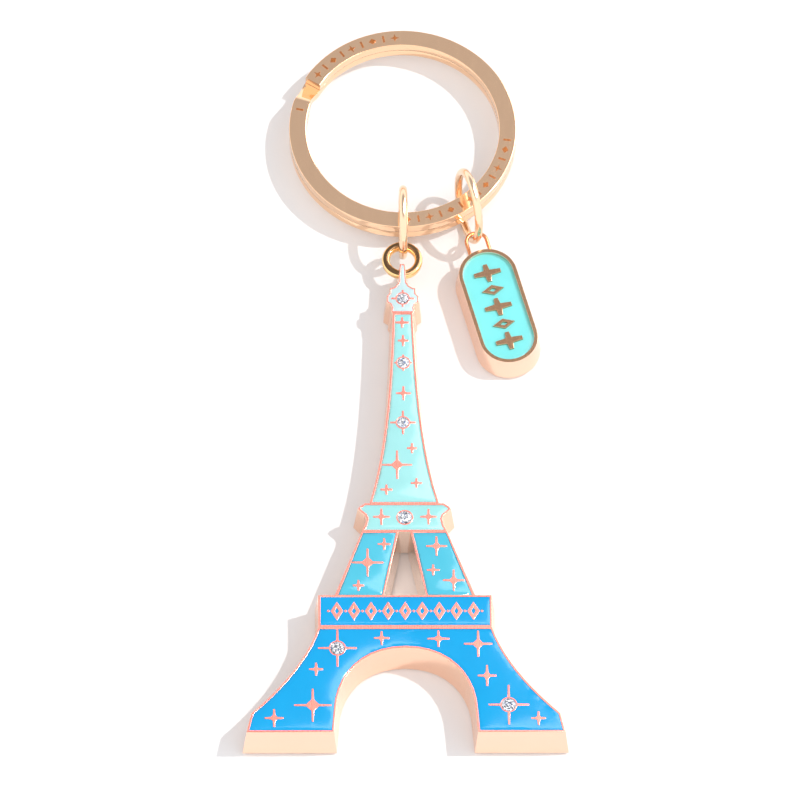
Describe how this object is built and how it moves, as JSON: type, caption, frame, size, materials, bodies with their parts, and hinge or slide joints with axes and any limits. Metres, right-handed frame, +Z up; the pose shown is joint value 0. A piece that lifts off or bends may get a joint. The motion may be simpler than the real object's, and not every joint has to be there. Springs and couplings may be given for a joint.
{
  "type": "keychain",
  "caption": "Souvenir keychain: flat split ring with an enamelled lattice-tower charm and a small oval enamelled tag, each on its own jump ring.",
  "frame": {"origin": "under the middle of the keychain's bounding box, on the surface it lies on", "axes": "+Z up from the surface, +Y along the keychain from the tower's feet towards the key ring, +X to the right as seen from above"},
  "size_m": [0.042, 0.1054, 0.0101],
  "materials": {
    "rose_gold_plate": "polished rose-gold plating on a zinc casting",
    "pale_gold_wire": "polished pale rose-gold plated wire",
    "yellow_gold_wire": "polished yellow-gold plated wire",
    "frost_blue_enamel": "glossy filled enamel",
    "aqua_enamel": "glossy filled enamel",
    "sky_blue_enamel": "glossy filled enamel",
    "deep_blue_enamel": "glossy filled enamel",
    "turquoise_enamel": "glossy filled enamel",
    "crystal": "faceted clear crystal"
  },
  "bodies": {
    "ring": {"key_ring": "rose_gold_plate"},
    "tower_ring": {"tower_link": "pale_gold_wire"},
    "tower": {"tower_casting": "rose_gold_plate", "tower_cell_walls": "rose_gold_plate", "tower_eyelet": "yellow_gold_wire", "enamel_finial": "frost_blue_enamel", "enamel_shaft": "aqua_enamel", "enamel_collar": "aqua_enamel", "enamel_left_leg": "sky_blue_enamel", "enamel_right_leg": "sky_blue_enamel", "enamel_banner": "deep_blue_enamel", "enamel_base": "deep_blue_enamel", "stone_finial": "crystal", "stone_upper_shaft": "crystal", "stone_lower_shaft": "crystal", "stone_collar": "crystal", "stone_left_foot": "crystal", "stone_right_foot": "crystal"},
    "tag_ring": {"tag_link": "pale_gold_wire"},
    "tag": {"tag_casting": "rose_gold_plate", "tag_enamel": "turquoise_enamel", "tag_bail": "pale_gold_wire"}
  },
  "joints": [
    {"name": "tower_ring_fold", "type": "hinge", "parent": "ring", "child": "tower_ring", "pos_m": [0.0002, 0.02385, 0.0032], "axis": [-1, 0, 0], "range_deg": [0, 110]},
    {"name": "tower_swing", "type": "hinge", "parent": "tower_ring", "child": "tower", "pos_m": [0.00013, 0.01917, 0.00331], "axis": [0, 0, 1], "range_deg": [-90, 8]},
    {"name": "tag_ring_fold", "type": "hinge", "parent": "ring", "child": "tag_ring", "pos_m": [0.00832, 0.02647, 0.0032], "axis": [-0.8111, -0.585, 0], "range_deg": [0, 90]},
    {"name": "tag_swing", "type": "hinge", "parent": "tag_ring", "child": "tag", "pos_m": [0.00964, 0.02152, 0.0032], "axis": [0, 0, 1], "range_deg": [-10, 60]}
  ]
}
